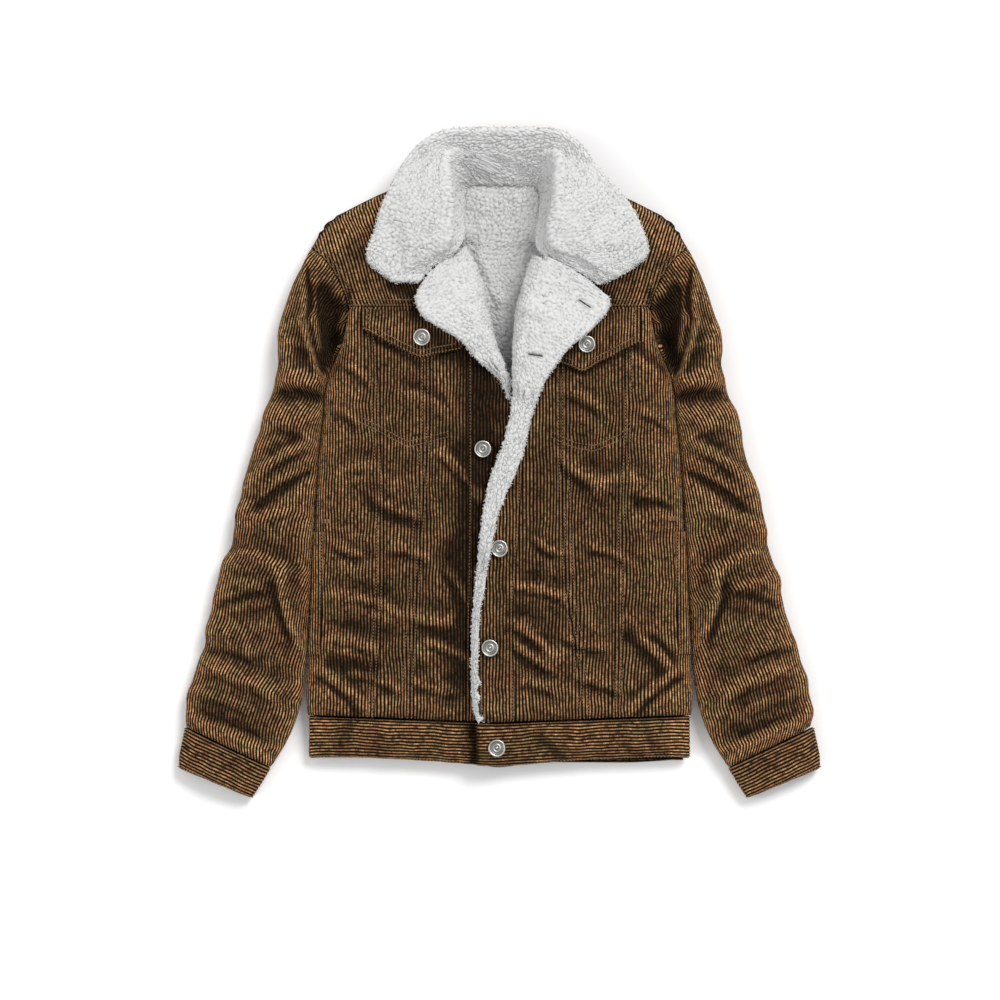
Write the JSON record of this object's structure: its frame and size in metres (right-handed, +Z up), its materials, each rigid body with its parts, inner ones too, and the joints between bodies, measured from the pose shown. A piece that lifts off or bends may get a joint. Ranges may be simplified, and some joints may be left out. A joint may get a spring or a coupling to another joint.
{
  "type": "corduroy jacket",
  "caption": "Waist-length corduroy trucker jacket with a curly pile collar, facings and lining, chest flap pockets and metal buttons, laid flat on its back.",
  "frame": {"origin": "centre of the jacket's box where it rests on the surface", "axes": "+X to the wearer's left, +Y from hem to collar, +Z up from the surface the jacket lies on, out of its front"},
  "size_m": [0.74, 0.7703, 0.0771],
  "materials": {
    "corduroy": "ribbed cotton pile, matte with soft sheen",
    "curly_pile": "curly synthetic pile, matte",
    "button_metal": "antique nickel, worn bright on the rim"
  },
  "bodies": {
    "root": {"back_middle": "corduroy", "back_side_left": "corduroy", "back_side_right": "corduroy", "back_yoke": "corduroy", "button_flap_left": "button_metal", "button_flap_right": "button_metal", "button_front_1": "button_metal", "button_front_2": "button_metal", "button_front_3": "button_metal", "button_front_4": "button_metal", "button_front_5": "button_metal", "button_waist": "button_metal", "collar_pile": "curly_pile", "collar_under": "corduroy", "cuff_left": "corduroy", "cuff_right": "corduroy", "facing_left": "curly_pile", "facing_right": "curly_pile", "front_centre_left": "corduroy", "front_centre_right": "corduroy", "front_middle_left": "corduroy", "front_middle_right": "corduroy", "front_side_left": "corduroy", "front_side_right": "corduroy", "front_yoke_left": "corduroy", "front_yoke_right": "corduroy", "lapel_left": "corduroy", "lapel_right": "corduroy", "neck_lining": "curly_pile", "placket_left": "corduroy", "placket_right": "corduroy", "pocket_flap_left": "corduroy", "pocket_flap_right": "corduroy", "pocket_welt_left": "corduroy", "pocket_welt_right": "corduroy", "sleeve_left": "corduroy", "sleeve_right": "corduroy", "waistband_back": "corduroy", "waistband_left": "corduroy", "waistband_right": "corduroy"}
  },
  "joints": []
}
